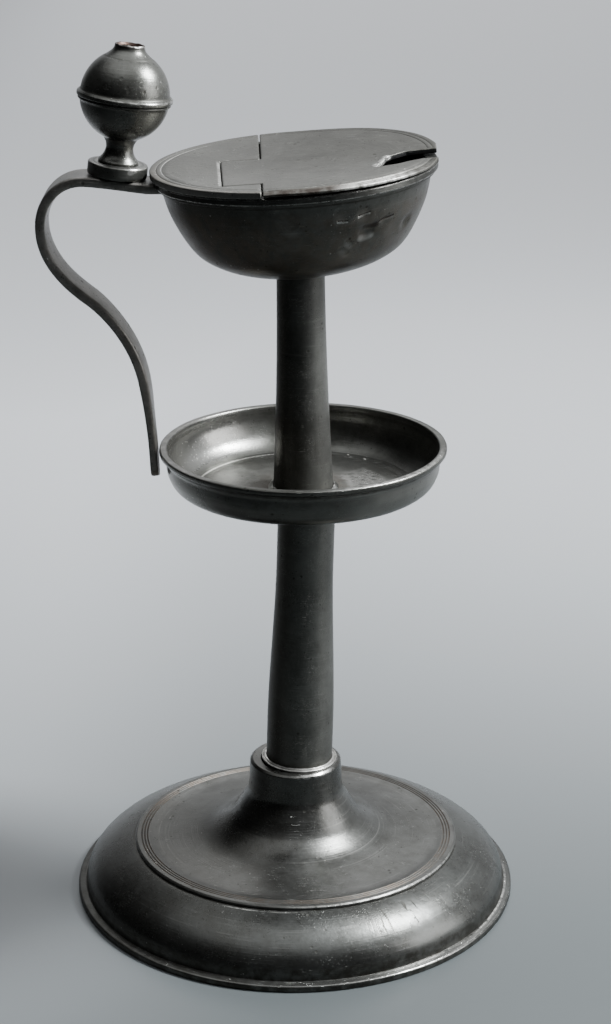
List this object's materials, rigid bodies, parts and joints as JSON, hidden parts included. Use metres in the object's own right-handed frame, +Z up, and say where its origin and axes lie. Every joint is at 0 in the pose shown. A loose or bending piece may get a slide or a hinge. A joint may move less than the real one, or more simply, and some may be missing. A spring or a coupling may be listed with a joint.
{
  "type": "oil lamp",
  "caption": "Pewter stand oil lamp: domed foot, drip pan on a tube stem, round bowl with a half lid that lifts and an open wick slot, strap handle and hollow ball knop.",
  "frame": {"origin": "middle of the box round the lamp, on the surface it stands on, which is the flange's rest face", "axes": "+Z up the stem, +X from the handle towards the wick slot, the lid's hinge pin lies along Y"},
  "size_m": [0.1452, 0.14, 0.2687],
  "materials": {
    "pewter": "dark grey pewter, soft sheen, turned, worn and pitted",
    "lid_pewter": "dark grey pewter, matt, with brown stains and fine scratches",
    "strap_metal": "dark grey pewter, brown at its lower end",
    "solder": "bright soft solder, worn",
    "pin_metal": "plain wire",
    "corroded_core": "rough reddish brown corrosion"
  },
  "bodies": {
    "lamp": {"base_skirt": "pewter", "base_well": "pewter", "stem_seat_ring": "solder", "lower_stem": "pewter", "drip_pan": "pewter", "pan_solder_run": "solder", "upper_stem": "pewter", "lamp_bowl": "pewter", "lid_fixed": "lid_pewter", "hinge_pin": "pin_metal", "handle_strap": "strap_metal", "knop_foot": "pewter", "knop_lower": "pewter", "knop_upper": "pewter", "finial_core": "corroded_core"},
    "flap": {"lid_flap": "lid_pewter"}
  },
  "joints": [
    {"name": "lid_hinge", "type": "hinge", "parent": "lamp", "child": "flap", "pos_m": [-0.01297, -0.00042, 0.23186], "axis": [0.0002, -0.9999, -0.014], "range_deg": [0, 115]}
  ]
}
